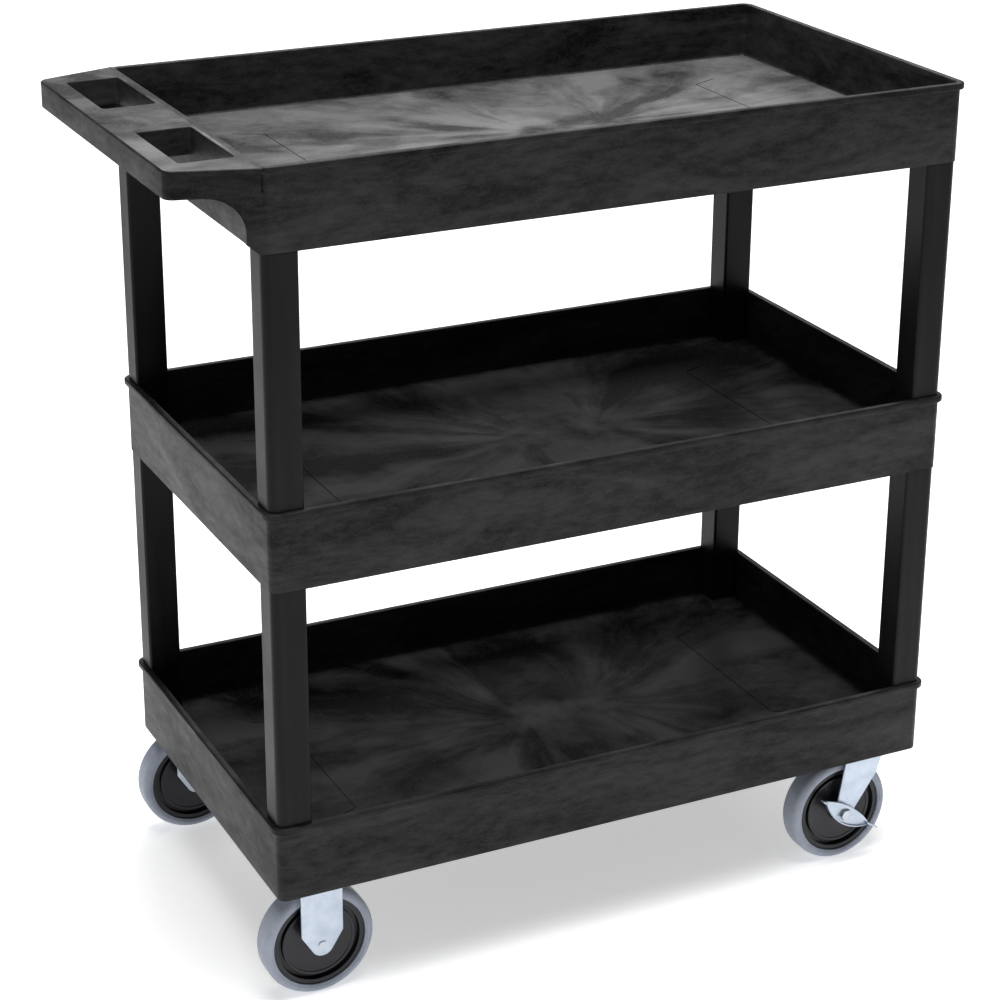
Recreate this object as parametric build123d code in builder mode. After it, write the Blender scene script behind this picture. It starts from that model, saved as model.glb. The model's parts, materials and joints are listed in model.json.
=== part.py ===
from build123d import *
import math
import os

os.makedirs("parts", exist_ok=True)

# Rolling utility cart: three moulded tubs on hollow corner posts, a push handle on the top tub,
# two fixed casters at the handle end and two braked swivel casters at the front end.
# Millimetres. X runs from the handle end to the front, Z is up, and the origin is on the ground
# below the middle of the whole cart. The left side is +Y.

# ---- tubs ----
tub_length = 806.0        # outside of the end walls
tub_width = 449.0         # outside of the side walls
tub_height = 87.5         # skirt bottom to rim top
tub_pitch = 357.0         # one tub to the next
skirt_gap = 0.8           # crown of the swivel forks to the skirt of the bottom tub
tub_wall = 4.0
floor_thickness = 4.0
corner_radius = 10.0      # upright outer corners
lip_out = 4.2             # how far the rim stands out from the wall
lip_tall = 7.0
lip_round = 1.8
rib_thickness = 3.5       # stiffening ribs below the floor
rib_drop = 13.0
long_ribs = 3
cross_ribs = 5

# ---- push handle, part of the top tub ----
handle_reach = 87.0       # from the end wall
handle_taper = 22.0       # far end narrower than the tub, on each side
handle_skirt = 28.5
handle_top = 5.0
handle_wall = 3.5
handle_corner = 9.0
grip_bar = 23.0           # width of the bar that the hands close round
hand_hole_side = 24.0     # either end of the hand holes
hand_hole_gap = 105.0     # solid middle between the two hand holes
hand_hole_front = 7.0     # strip between the hand holes and the end wall
hand_hole_corner = 4.0
web_thickness = 3.5
web_inset = 0.8           # web face, in from the side wall's face
web_foot = 13.0
web_foot_height = 10.0    # upright edge below the arc
web_lift = 11.0           # lower corner of the web above the skirt bottom

# ---- posts ----
post_inset = 1.2          # visible post faces, in from the wall faces
post_length_x = 37.6      # section
post_length_y = 35.9
post_wall = 3.2
post_fit = 0.3            # between a post end and the tub wall
shoulder_gap = 0.6        # between a shoulder and the rim or skirt
post_edge_round = 3.0
post_core_round = 2.0
spigot_height = 15.0      # moulded plug inside each post end
spigot_fit = 0.35

# ---- casters ----
wheel_diameter = 127.0
tread_width = 30.0
tread_round = 6.0
tyre_thickness = 10.5
core_rim = 6.0            # radial width of the core's rim
core_groove = 5.0         # radial width of the groove inside the rim
rim_recess = 2.5          # rim, disc and groove in from the sides of the tyre
disc_recess = 4.0
groove_recess = 9.5
hub_radius = 14.0
hub_end_gap = 0.2         # hub to thrust washer
washer_radius = 11.0
washer_thickness = 1.2
axle_radius = 4.0
axle_clearance = 0.05
sleeve_wall = 1.95
tyre_gap = 4.5            # side of the tyre to the leg
fork_thickness = 2.5
plate_thickness = 3.0
plate_corner = 6.0
plate_edge = 10.0         # bolt centres to the ends of the plate
bolt_leg_gap = 2.0        # bolt washers to the legs of a fixed fork
bolt_spacing_y = 26.0
side_gap = 0.5            # plate edge to the tub's side wall
fixed_gap = 0.7           # plate edge to the handle end wall
swivel_gap = 10.9         # plate edge to the front wall
swivel_trail = 36.5       # kingpin to axle

# fixed fork legs
fixed_leg_width = 48.0
fixed_leg_shoulder = 14.0  # above the axle
fixed_leg_tip = 13.0
rivet_head_lap = 0.8      # head beyond the shank
rivet_head_height = 1.2

# swivel fork and its bearing
crown_thickness = 2.5
crown_margin = 0.2        # crown beyond the cover of the upper race
crown_lift = 0.2          # crown underside above the wheel's top
race_inner_land = 3.7     # race inside and outside the balls
race_outer_land = 0.7
race_thickness = 3.0
race_gap = 2.8            # between the two races
race_cover = 1.3          # wall of the cover round the balls
race_cover_gap = 0.6      # cover to lower race
race_cover_lift = 1.0     # cover above the crown
ball_radius = 2.5
ball_circle = 16.2
ball_count = 16
ball_clearance = 0.3
kingpin_radius = 6.0
kingpin_head_lap = 3.0    # head and foot beyond the shank
kingpin_head_height = 3.5
kingpin_foot_lap = 2.5
kingpin_foot_height = 2.4
kingpin_gap = 0.3
swivel_leg_tip = 11.0
swivel_leg_lead = 12.5    # front edge of the leg at the crown, past the kingpin
swivel_knee_lead = 6.5
swivel_knee_drop = 22.0

# axle bolt, nut and brake of the swivel casters
hex_across = 13.0
bolt_head_height = 3.8
nut_height = 6.5
thread_out = 2.2
cam_radius = 10.0
cam_thickness = 2.2
brake_gap = 0.3
lever_thickness = 2.0
lever_flange = 4.0        # how far the folded lower edge stands out
lever_fold = 1.6          # its thickness
lever_tab_width = 6.0     # how far the end tabs stand out
lever_lean = 34.0         # degrees, front end down
lever_reach = 38.0        # axle to either tip of the leaf
lever_tip_rise = 3.3      # tips above the axle's line
lever_belly = 11.4        # lower edge below the axle
lever_back = 10.7         # upper edge above the axle
lever_tab_front = 14.0    # tabs beyond the tips
lever_tab_back = 5.0
lever_clearance = 0.08    # bore round the axle bolt

# caster bolts and the inserts that take them
caster_bolt_radius = 3.95
caster_bolt_past = 0.4    # end of the bolt past the insert
caster_bolt_head = 5.3
bolt_hole_clearance = 0.55
thread_clearance = 0.05
insert_wall = 1.5
insert_length = 9.0
insert_cover = 1.0        # pad above the insert
insert_hole_extra = 1.0   # hole past the end of the bolt
washer_clearance = 0.35
washer_lap = 3.7          # washer beyond its bore
bolt_washer_thickness = 1.6
pad_margin = 3.0          # pad beyond the plate edge, where the skirt leaves room
recess_clearance = 2.5    # recess in the pad round the head of the kingpin
recess_headroom = 1.5

# ---- places that follow from the sizes ----
# Each chain starts at the ground: the wheel, the crown above it, the bearing, the plate, the tub.
axle_height = wheel_diameter / 2
core_radius = axle_height - tyre_thickness
core_groove_face = tread_width / 2 - groove_recess
core_face = tread_width / 2 - disc_recess
core_rim_face = tread_width / 2 - rim_recess
sleeve_radius = axle_radius + axle_clearance + sleeve_wall
rivet_head_radius = axle_radius + rivet_head_lap
leg_inner = tread_width / 2 + tyre_gap
leg_outer = leg_inner + fork_thickness
hub_half = leg_inner - washer_thickness - 2 * hub_end_gap
hex_radius = hex_across / math.sqrt(3)
crown_low = wheel_diameter + crown_lift
crown_high = crown_low + crown_thickness
race_low = crown_high + race_thickness + race_gap
plate_low = race_low + race_thickness
caster_height = plate_low + plate_thickness
ball_height = (crown_high + race_thickness + race_low) / 2
race_inner = ball_circle - ball_radius - race_inner_land
race_outer = ball_circle + ball_radius + race_outer_land
crown_radius = race_outer + race_cover_gap + race_cover + crown_margin
kingpin_head_radius = kingpin_radius + kingpin_head_lap
kingpin_foot_radius = kingpin_radius + kingpin_foot_lap
kingpin_recess_radius = kingpin_head_radius + recess_clearance
kingpin_recess_depth = kingpin_head_height + recess_headroom

# caster bolts
bolt_hole_radius = caster_bolt_radius + bolt_hole_clearance
insert_bore = caster_bolt_radius + thread_clearance
insert_radius = insert_bore + insert_wall
bolt_washer_bore = caster_bolt_radius + washer_clearance
bolt_washer_radius = bolt_washer_bore + washer_lap
bolt_seat = plate_low - bolt_washer_thickness
caster_bolt_length = bolt_washer_thickness + plate_thickness + insert_length + caster_bolt_past
bolt_spacing_x = fixed_leg_width + 2 * (bolt_washer_radius + bolt_leg_gap)
plate_length = bolt_spacing_x + 2 * plate_edge
plate_width = 2 * leg_outer

# tubs
ground_clearance = crown_high + skirt_gap
ceiling_lift = caster_height + insert_length + insert_cover - ground_clearance  # to the floor's underside
floor_lift = ceiling_lift + floor_thickness                                     # to the floor's top
tub_bases = [ground_clearance + level * tub_pitch for level in range(3)]
half_width = tub_width / 2
inner_round = corner_radius - tub_wall
overall_length = handle_reach + tub_length + lip_out
back_wall = -overall_length / 2 + handle_reach
front_wall = back_wall + tub_length
tub_middle = (back_wall + front_wall) / 2

# handle
handle_end_width = tub_width - 2 * handle_taper
hand_hole_width = handle_reach - grip_bar - hand_hole_front
hand_hole_length = (handle_end_width - hand_hole_gap) / 2 - hand_hole_side
web_arc = tub_height - handle_skirt - web_foot_height - web_lift

# posts, measured from the outer faces of the walls at a corner
foot_inset = tub_wall + post_fit
post_far_x = post_inset + post_length_x
post_far_y = post_inset + post_length_y
core_x = post_far_x - foot_inset - 2 * post_wall
core_y = post_far_y - foot_inset - 2 * post_wall
core_inset_x = foot_inset + post_wall + core_x / 2
core_inset_y = foot_inset + post_wall + core_y / 2

# where the casters stand
caster_side = half_width - tub_wall - side_gap - plate_width / 2
fixed_x = back_wall + tub_wall + fixed_gap + plate_length / 2
swivel_inset = tub_wall + swivel_gap + plate_length / 2
swivel_x = front_wall - swivel_inset
swivel_axle_x = swivel_x - swivel_trail

# ribs stay clear of the corners that hold posts and casters
corner_zone_x = swivel_inset + plate_length / 2 + 4 * pad_margin
corner_zone_y = half_width - caster_side + plate_width / 2 + pad_margin
long_rib_pitch = (tub_width - 2 * corner_zone_y) / (long_ribs + 1)
cross_rib_pitch = (tub_length - 2 * corner_zone_x) / (cross_ribs - 1)

corners = [(end, side) for end in (-1, 1) for side in (-1, 1)]
end_names = {-1: "handle", 1: "front"}
side_names = {-1: "right", 1: "left"}


def corner_place(end, side, inset_x, inset_y):
    """Place at a corner of the tubs, measured inwards from the outer faces of its two walls."""
    wall = back_wall if end < 0 else front_wall
    return wall - end * inset_x, side * (half_width - inset_y)


caster_places = {
    "handle_right": (fixed_x, -caster_side),
    "handle_left": (fixed_x, caster_side),
    "front_right": (swivel_x, -caster_side),
    "front_left": (swivel_x, caster_side),
}


def bolt_places(place):
    """The four bolts of the caster plate at one place."""
    x, y = place
    for dx in (-bolt_spacing_x / 2, bolt_spacing_x / 2):
        for dy in (-bolt_spacing_y / 2, bolt_spacing_y / 2):
            yield x + dx, y + dy


def cross_plane(y):
    """Upright plane along X at one Y, whose sketches have X to the right and Z up."""
    return Plane(origin=(0, y, 0), x_dir=(1, 0, 0), z_dir=(0, -1, 0))


def add_block(x_size, y_size, z_low, z_high, radius, centre=(0, 0), mode=Mode.ADD):
    """Upright block with rounded corners, added to or cut from the piece in hand."""
    with BuildSketch(Plane.XY.offset(z_low)) as outline:
        with Locations(centre):
            RectangleRounded(x_size, y_size, radius)
    extrude(outline.sketch, amount=z_high - z_low, mode=mode)


def add_ring(outer, inner, z_low, z_high, centre, mode=Mode.ADD):
    """Upright ring or, where inner is 0, an upright disc."""
    with BuildSketch(Plane.XY.offset(z_low)) as outline:
        with Locations(centre):
            Circle(outer)
            if inner:
                Circle(inner, mode=Mode.SUBTRACT)
    extrude(outline.sketch, amount=z_high - z_low, mode=mode)


def add_cross_ring(x, outer, inner, y_low, y_high, mode=Mode.ADD):
    """Ring or disc round the axle line, which runs along Y at axle height."""
    with BuildSketch(cross_plane(y_high)) as outline:
        with Locations((x, axle_height)):
            Circle(outer)
            if inner:
                Circle(inner, mode=Mode.SUBTRACT)
    extrude(outline.sketch, amount=y_high - y_low, mode=mode)


def add_cross_hexagon(x, y_low, y_high):
    """Hexagon head or nut on the axle line."""
    with BuildSketch(cross_plane(y_high)) as outline:
        with Locations((x, axle_height)):
            RegularPolygon(hex_radius, 6)
    extrude(outline.sketch, amount=y_high - y_low)


def save(piece, name):
    """Label a finished piece and write its file."""
    piece.label = name
    export_step(piece, f"parts/{name}.step")


# ---- tubs ----
def add_tub(base):
    """Walls, floor, open skirt, rim and under-floor ribs of a tub whose skirt stands at base."""
    top = base + tub_height
    inside = (tub_length - 2 * tub_wall, tub_width - 2 * tub_wall)
    rim = (tub_length + 2 * lip_out, tub_width + 2 * lip_out)
    centre = (tub_middle, 0)
    add_block(tub_length, tub_width, base, top, corner_radius, centre)
    add_block(*rim, top - lip_tall, top, corner_radius + lip_out, centre)
    fillet(edges().group_by(Axis.Z)[-1], radius=lip_round)
    add_block(*inside, base + floor_lift, top, inner_round, centre, Mode.SUBTRACT)
    add_block(*inside, base, base + ceiling_lift, inner_round, centre, Mode.SUBTRACT)
    with BuildSketch(Plane.XY.offset(base + ceiling_lift - rib_drop)) as ribs:
        with GridLocations(0, long_rib_pitch, 1, long_ribs):
            with Locations((tub_middle, 0)):
                Rectangle(tub_length - tub_wall, rib_thickness)
        with GridLocations(cross_rib_pitch, 0, cross_ribs, 1):
            with Locations((tub_middle, 0)):
                Rectangle(rib_thickness, tub_width - tub_wall)
    extrude(ribs.sketch, amount=rib_drop)


def add_spigots(z_low):
    """Four moulded plugs that fill the open ends of the posts."""
    size_x = core_x - 2 * spigot_fit
    size_y = core_y - 2 * spigot_fit
    for end, side in corners:
        place = corner_place(end, side, core_inset_x, core_inset_y)
        add_block(size_x, size_y, z_low, z_low + spigot_height, post_core_round - spigot_fit, place)


def add_handle_plate(wall_half, end_half, reach, front, z_low, z_high, mode=Mode.ADD):
    """Handle outline: straight sides from the end wall's corners in to a narrower, rounded end."""
    end = back_wall - reach
    with BuildSketch(Plane.XY.offset(z_low)) as outline:
        with BuildLine():
            Polyline(
                (front, -wall_half),
                (back_wall, -wall_half),
                (end, -end_half),
                (end, end_half),
                (back_wall, wall_half),
                (front, wall_half),
                close=True,
            )
        make_face()
        fillet(vertices().group_by(Axis.X)[0], radius=handle_corner)
    extrude(outline.sketch, amount=z_high - z_low, mode=mode)


def hand_hole_centres():
    """Middles of the two hand holes."""
    x = back_wall - hand_hole_front - hand_hole_width / 2
    for side in (-1, 1):
        yield x, side * (hand_hole_gap + hand_hole_length) / 2


def web_outline(base):
    """Side view of a corner web: a concave quarter arc from under the handle to a short foot."""
    low = base + web_lift
    top = base + tub_height
    foot = back_wall - web_foot
    arc_x = foot - web_arc
    arc_z = top - handle_skirt - web_arc
    with BuildSketch(cross_plane(half_width)) as outline:
        with BuildLine():
            Polyline((arc_x, top - handle_top), (back_wall + 1, top - handle_top), (back_wall + 1, base))
            Polyline((back_wall + 1, base), (back_wall, base), (foot, low), (foot, arc_z))
            CenterArc((arc_x, arc_z), web_arc, 0, 90)
            Line((arc_x, arc_z + web_arc), (arc_x, top - handle_top))
        make_face()
    return outline.sketch


with BuildPart() as bottom_tray:
    add_tub(tub_bases[0])
    add_spigots(tub_bases[0] + floor_lift)
    # Caster pads, joined to the floor, with holes for the inserts and recesses for the kingpins.
    pad_size = (plate_length + 2 * pad_margin, plate_width + 2 * pad_margin)
    pad_high = tub_bases[0] + ceiling_lift
    bolt_hole_depth = bolt_seat + caster_bolt_length + insert_hole_extra - caster_height
    for place in caster_places.values():
        add_block(*pad_size, caster_height, pad_high, plate_corner, place)
        for bolt_place in bolt_places(place):
            add_ring(
                insert_radius, 0, caster_height, caster_height + insert_length, bolt_place, Mode.SUBTRACT
            )
            add_ring(
                insert_bore, 0, caster_height, caster_height + bolt_hole_depth, bolt_place, Mode.SUBTRACT
            )
    for place in (caster_places["front_right"], caster_places["front_left"]):
        recess_high = caster_height + kingpin_recess_depth
        add_ring(kingpin_recess_radius, 0, caster_height, recess_high, place, Mode.SUBTRACT)
save(bottom_tray.part, "bottom_tray")

with BuildPart() as middle_tray:
    add_tub(tub_bases[1])
    add_spigots(tub_bases[1] + floor_lift)
    add_spigots(tub_bases[1] + ceiling_lift - spigot_height)
save(middle_tray.part, "middle_tray")

top_base = tub_bases[2]
rim_top = top_base + tub_height

# Corner webs, cut to their side view, before they join the top tray.
with BuildPart() as corner_webs:
    face_at_wall = half_width - web_inset
    face_at_end = handle_end_width / 2
    for side in (-1, 1):
        with BuildSketch(Plane.XY.offset(top_base)) as strip:
            with BuildLine():
                Polyline(
                    (back_wall + 1, side * face_at_wall),
                    (back_wall, side * face_at_wall),
                    (back_wall - handle_reach, side * face_at_end),
                    (back_wall - handle_reach, side * (face_at_end - web_thickness)),
                    (back_wall, side * (face_at_wall - web_thickness)),
                    (back_wall + 1, side * (face_at_wall - web_thickness)),
                    close=True,
                )
            make_face()
        extrude(strip.sketch, amount=tub_height)
    extrude(web_outline(top_base), amount=tub_width, mode=Mode.INTERSECT)

with BuildPart() as top_tray:
    add_tub(top_base)
    add_spigots(top_base + ceiling_lift - spigot_height)
    # Handle: a top plate with a skirt round its edge and round the hand holes, open below.
    seam = back_wall + tub_wall / 2
    skirt_low = rim_top - handle_skirt
    plate_under = rim_top - handle_top
    pocket_wall = handle_wall + web_inset
    add_handle_plate(half_width + lip_out, handle_end_width / 2, handle_reach, seam, plate_under, rim_top)
    add_handle_plate(
        half_width - web_inset, handle_end_width / 2, handle_reach, seam, skirt_low, plate_under
    )
    with BuildSketch(Plane.XY.offset(skirt_low)) as pocket:
        with BuildLine():
            Polyline(
                (back_wall, -half_width + pocket_wall),
                (back_wall - handle_reach + handle_wall, -handle_end_width / 2 + handle_wall),
                (back_wall - handle_reach + handle_wall, handle_end_width / 2 - handle_wall),
                (back_wall, half_width - pocket_wall),
                close=True,
            )
        make_face()
        fillet(vertices().group_by(Axis.X)[0], radius=handle_corner - handle_wall)
        with Locations(*hand_hole_centres()):
            Rectangle(
                hand_hole_width + 2 * handle_wall, hand_hole_length + 2 * handle_wall, mode=Mode.SUBTRACT
            )
    extrude(pocket.sketch, amount=handle_skirt - handle_top, mode=Mode.SUBTRACT)
    for place in hand_hole_centres():
        add_block(
            hand_hole_width, hand_hole_length, skirt_low, rim_top, hand_hole_corner, place, Mode.SUBTRACT
        )
    add(corner_webs.part)
save(top_tray.part, "top_tray")


# ---- posts ----
def add_post_section(end, side, inset, outer_round, z_low, z_high, mode=Mode.ADD):
    """Stretch of post from its inset to its inner faces, with a rounder outer corner."""
    inner_x, inner_y = corner_place(end, side, post_far_x, post_far_y)
    outer_x, outer_y = corner_place(end, side, inset, inset)
    with BuildSketch(Plane.XY.offset(z_low)) as section:
        with Locations(((inner_x + outer_x) / 2, (inner_y + outer_y) / 2)):
            Rectangle(abs(inner_x - outer_x), abs(inner_y - outer_y))
        by_distance = vertices().sort_by_distance((outer_x, outer_y, 0))
        fillet(by_distance[0], radius=outer_round)
        inner_corners = vertices().sort_by_distance((outer_x, outer_y, 0))[2:]
        fillet(inner_corners, radius=post_edge_round)
    extrude(section.sketch, amount=z_high - z_low, mode=mode)


for level, level_name in enumerate(("lower", "upper")):
    foot = tub_bases[level] + floor_lift
    head = tub_bases[level + 1] + ceiling_lift
    shoulder_low = tub_bases[level] + tub_height + shoulder_gap
    shoulder_high = tub_bases[level + 1] - shoulder_gap
    for end, side in corners:
        with BuildPart() as post:
            add_post_section(end, side, foot_inset, inner_round - post_fit, foot, head)
            add_post_section(
                end, side, post_inset, corner_radius - post_inset, shoulder_low, shoulder_high
            )
            core_place = corner_place(end, side, core_inset_x, core_inset_y)
            add_block(core_x, core_y, foot, head, post_core_round, core_place, Mode.SUBTRACT)
        save(post.part, f"{level_name}_post_{end_names[end]}_{side_names[side]}")


# ---- wheels, the same on every caster ----
def spin_plane(x, y):
    """Half section of a wheel: radius to the right, width upwards, about the axle line."""
    return Plane(origin=(x, y, axle_height), x_dir=(0, 0, 1), z_dir=(-1, 0, 0))


def make_wheel(name, x, y):
    """Rubber tyre, moulded core, spacer sleeve and thrust washers round one axle."""
    axle_line = Axis((x, y, axle_height), (0, 1, 0))
    rim_inner = core_radius - core_rim
    groove_inner = rim_inner - core_groove

    with BuildPart() as tyre:
        with BuildSketch(spin_plane(x, y)) as section:
            with Locations(((core_radius + axle_height) / 2, 0)):
                Rectangle(axle_height - core_radius, tread_width)
            fillet(vertices().group_by(Axis.X)[-1], radius=tread_round)
        revolve(section.sketch, axis=axle_line)
    save(tyre.part, f"{name}_tyre")

    with BuildPart() as core:
        upper_half = [
            (sleeve_radius + axle_clearance, hub_half),
            (hub_radius, hub_half),
            (hub_radius, core_face),
            (groove_inner, core_face),
            (groove_inner, core_groove_face),
            (rim_inner, core_groove_face),
            (rim_inner, core_rim_face),
            (core_radius, core_rim_face),
        ]
        lower_half = [(radius, -height) for radius, height in reversed(upper_half)]
        with BuildSketch(spin_plane(x, y)) as section:
            with BuildLine():
                Polyline(*upper_half, *lower_half, close=True)
            make_face()
        revolve(section.sketch, axis=axle_line)
    save(core.part, f"{name}_wheel_core")

    with BuildPart() as sleeve:
        half = leg_inner - hub_end_gap
        add_cross_ring(x, sleeve_radius, axle_radius + axle_clearance, y - half, y + half)
    save(sleeve.part, f"{name}_axle_sleeve")

    with BuildPart() as washers:
        for side in (-1, 1):
            near = y + side * (hub_half + hub_end_gap)
            away = near + side * washer_thickness
            bore = sleeve_radius + axle_clearance
            add_cross_ring(x, washer_radius, bore, min(near, away), max(near, away))
    save(washers.part, f"{name}_thrust_washers")


def cut_plate_holes(place):
    """Four bolt holes in the plate in hand."""
    for bolt_place in bolt_places(place):
        add_ring(bolt_hole_radius, 0, plate_low, caster_height, bolt_place, Mode.SUBTRACT)


def add_legs(outline, y):
    """Two fork legs of one side view, either side of a wheel."""
    extrude(outline.sketch.moved(Location((0, y + leg_outer, 0))), amount=fork_thickness)
    extrude(outline.sketch.moved(Location((0, y - leg_inner, 0))), amount=fork_thickness)


# ---- fixed casters ----
for name in ("handle_right", "handle_left"):
    x, y = caster_places[name]
    make_wheel(name, x, y)

    with BuildPart() as fork:
        add_block(plate_length, plate_width, plate_low, caster_height, plate_corner, (x, y))
        with BuildSketch(cross_plane(0)) as leg:
            shoulder = axle_height + fixed_leg_shoulder
            with Locations((x, axle_height)):
                Circle(fixed_leg_tip)
            with Locations((x, (shoulder + plate_low) / 2)):
                Rectangle(fixed_leg_width, plate_low - shoulder)
            make_hull()
        add_legs(leg, y)
        add_cross_ring(
            x, axle_radius + axle_clearance, 0, y - leg_outer, y + leg_outer, Mode.SUBTRACT
        )
        cut_plate_holes((x, y))
    save(fork.part, f"{name}_fork")

    with BuildPart() as rivet:
        head_in = leg_outer + axle_clearance
        head_out = head_in + rivet_head_height
        add_cross_ring(x, axle_radius, 0, y - head_out, y + head_out)
        add_cross_ring(x, rivet_head_radius, 0, y + head_in, y + head_out)
        add_cross_ring(x, rivet_head_radius, 0, y - head_out, y - head_in)
    save(rivet.part, f"{name}_axle_rivet")


# ---- swivel casters ----
for name in ("front_right", "front_left"):
    x, y = caster_places[name]
    make_wheel(name, swivel_axle_x, y)
    cam_out = leg_outer + cam_thickness
    lever_in = cam_out + brake_gap
    lever_out = lever_in + lever_thickness
    head_in = lever_out + brake_gap

    with BuildPart() as plate:
        add_block(plate_length, plate_width, plate_low, caster_height, plate_corner, (x, y))
        add_ring(kingpin_radius, 0, plate_low, caster_height, (x, y), Mode.SUBTRACT)
        cut_plate_holes((x, y))
    save(plate.part, f"{name}_caster_plate")

    # Upper race, with a cover that hangs round the balls.
    with BuildPart() as upper_race:
        cover_inner = race_outer + race_cover_gap
        cover_outer = cover_inner + race_cover
        add_ring(cover_outer, race_inner, race_low, plate_low, (x, y))
        add_ring(cover_outer, cover_inner, crown_high + race_cover_lift, race_low, (x, y))
        with BuildSketch(Plane(origin=(x, y, ball_height), x_dir=(1, 0, 0), z_dir=(0, -1, 0))) as track:
            with Locations((ball_circle, 0)):
                Circle(ball_radius + ball_clearance)
        revolve(track.sketch, axis=Axis((x, y, 0), (0, 0, 1)), mode=Mode.SUBTRACT)
    save(upper_race.part, f"{name}_upper_race")

    with BuildPart() as lower_race:
        add_ring(race_outer, race_inner, crown_high, crown_high + race_thickness, (x, y))
        with BuildSketch(Plane(origin=(x, y, ball_height), x_dir=(1, 0, 0), z_dir=(0, -1, 0))) as track:
            with Locations((ball_circle, 0)):
                Circle(ball_radius + axle_clearance)
        revolve(track.sketch, axis=Axis((x, y, 0), (0, 0, 1)), mode=Mode.SUBTRACT)
    save(lower_race.part, f"{name}_lower_race")

    with BuildPart() as balls:
        with Locations((x, y, ball_height)):
            with PolarLocations(ball_circle, ball_count):
                Sphere(ball_radius)
    save(balls.part, f"{name}_race_balls")

    with BuildPart() as kingpin:
        foot_high = crown_low - kingpin_gap
        foot_low = foot_high - kingpin_foot_height
        head_high = caster_height + kingpin_head_height
        add_ring(kingpin_radius, 0, foot_low, head_high, (x, y))
        add_ring(kingpin_head_radius, 0, caster_height, head_high, (x, y))
        add_ring(kingpin_foot_radius, 0, foot_low, foot_high, (x, y))
        chamfer(edges().group_by(Axis.Z)[0], length=kingpin_foot_height / 3)
    save(kingpin.part, f"{name}_kingpin")

    # Fork: the legs lean back from the crown to the axle, so the wheel trails the kingpin.
    crown_front = x + swivel_leg_lead
    with BuildPart() as fork:
        with BuildSketch(cross_plane(0)) as leg:
            with BuildLine():
                Polyline(
                    (swivel_axle_x, crown_high),
                    (crown_front, crown_high),
                    (x + swivel_knee_lead, crown_high - swivel_knee_drop),
                    close=True,
                )
            make_face()
            with Locations((swivel_axle_x, axle_height)):
                Circle(swivel_leg_tip)
            make_hull()
        add_legs(leg, y)
        crown_back = x - crown_radius
        with BuildSketch(Plane.XY.offset(crown_low)) as crown:
            with Locations(((crown_front + crown_back) / 2, y)):
                Rectangle(crown_front - crown_back, plate_width)
            with Locations((x, y)):
                Circle(crown_radius)
        extrude(crown.sketch, amount=crown_thickness)
        add_ring(kingpin_radius + axle_clearance, 0, crown_low, crown_high, (x, y), Mode.SUBTRACT)
        add_cross_ring(
            swivel_axle_x,
            axle_radius + axle_clearance,
            0,
            y - leg_outer,
            y + leg_outer,
            Mode.SUBTRACT,
        )
    save(fork.part, f"{name}_fork")

    with BuildPart() as axle_bolt:
        add_cross_ring(swivel_axle_x, axle_radius, 0, y - head_in, y + leg_outer + nut_height + thread_out)
        add_cross_hexagon(swivel_axle_x, y - head_in - bolt_head_height, y - head_in)
    save(axle_bolt.part, f"{name}_axle_bolt")

    with BuildPart() as axle_nut:
        add_cross_hexagon(swivel_axle_x, y + leg_outer, y + leg_outer + nut_height)
        add_cross_ring(
            swivel_axle_x, axle_radius, 0, y + leg_outer, y + leg_outer + nut_height, Mode.SUBTRACT
        )
    save(axle_nut.part, f"{name}_axle_nut")

    with BuildPart() as brake_cam:
        add_cross_ring(swivel_axle_x, cam_radius, axle_radius + axle_clearance, y - cam_out, y - leg_outer)
    save(brake_cam.part, f"{name}_brake_cam")

    # Brake lever: a leaf with its lower edge and both tips folded outwards.
    lean = math.radians(lever_lean)
    along = (math.cos(lean), 0, -math.sin(lean))
    with BuildPart() as lever:
        lever_plane = Plane(
            origin=(swivel_axle_x, y - lever_in, axle_height), x_dir=along, z_dir=(0, -1, 0)
        )
        back_tip = (-lever_reach, lever_tip_rise)
        front_tip = (lever_reach, lever_tip_rise)
        with BuildSketch(lever_plane) as leaf:
            with BuildLine():
                ThreePointArc(back_tip, (0, -lever_belly), front_tip)
                ThreePointArc(front_tip, (0, lever_back), back_tip)
            make_face()
        extrude(leaf.sketch, amount=lever_thickness)
        with BuildSketch(lever_plane) as fold:
            with BuildLine():
                ThreePointArc(back_tip, (0, -lever_belly), front_tip)
                ThreePointArc(front_tip, (0, -lever_belly + lever_fold), back_tip)
            make_face()
        extrude(fold.sketch, amount=lever_thickness + lever_flange)
        with BuildSketch(lever_plane) as tabs:
            with BuildLine():
                Polyline(
                    (lever_reach - 3 * lever_fold, lever_tip_rise - lever_fold),
                    (lever_reach + lever_tab_front, lever_tip_rise - lever_fold),
                    (lever_reach + lever_tab_front, lever_tip_rise),
                    (lever_reach - 3 * lever_fold, lever_tip_rise),
                    close=True,
                )
            make_face()
            with BuildLine():
                Polyline(
                    (-lever_reach + 3 * lever_fold, lever_tip_rise - lever_fold),
                    (-lever_reach - lever_tab_back, lever_tip_rise - lever_fold),
                    (-lever_reach - lever_tab_back, lever_tip_rise),
                    (-lever_reach + 3 * lever_fold, lever_tip_rise),
                    close=True,
                )
            make_face()
        extrude(tabs.sketch, amount=lever_tab_width)
        bore = axle_radius + lever_clearance
        add_cross_ring(swivel_axle_x, bore, 0, y - lever_out, y - lever_in, Mode.SUBTRACT)
    save(lever.part, f"{name}_brake_lever")


# ---- what fastens the casters to the bottom tray ----
all_bolt_places = [spot for place in caster_places.values() for spot in bolt_places(place)]

with BuildPart() as inserts:
    for place in all_bolt_places:
        add_ring(insert_radius, insert_bore, caster_height, caster_height + insert_length, place)
save(inserts.part, "threaded_inserts")

with BuildPart() as bolt_washers:
    for place in all_bolt_places:
        add_ring(bolt_washer_radius, bolt_washer_bore, bolt_seat, plate_low, place)
save(bolt_washers.part, "caster_bolt_washers")

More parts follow.
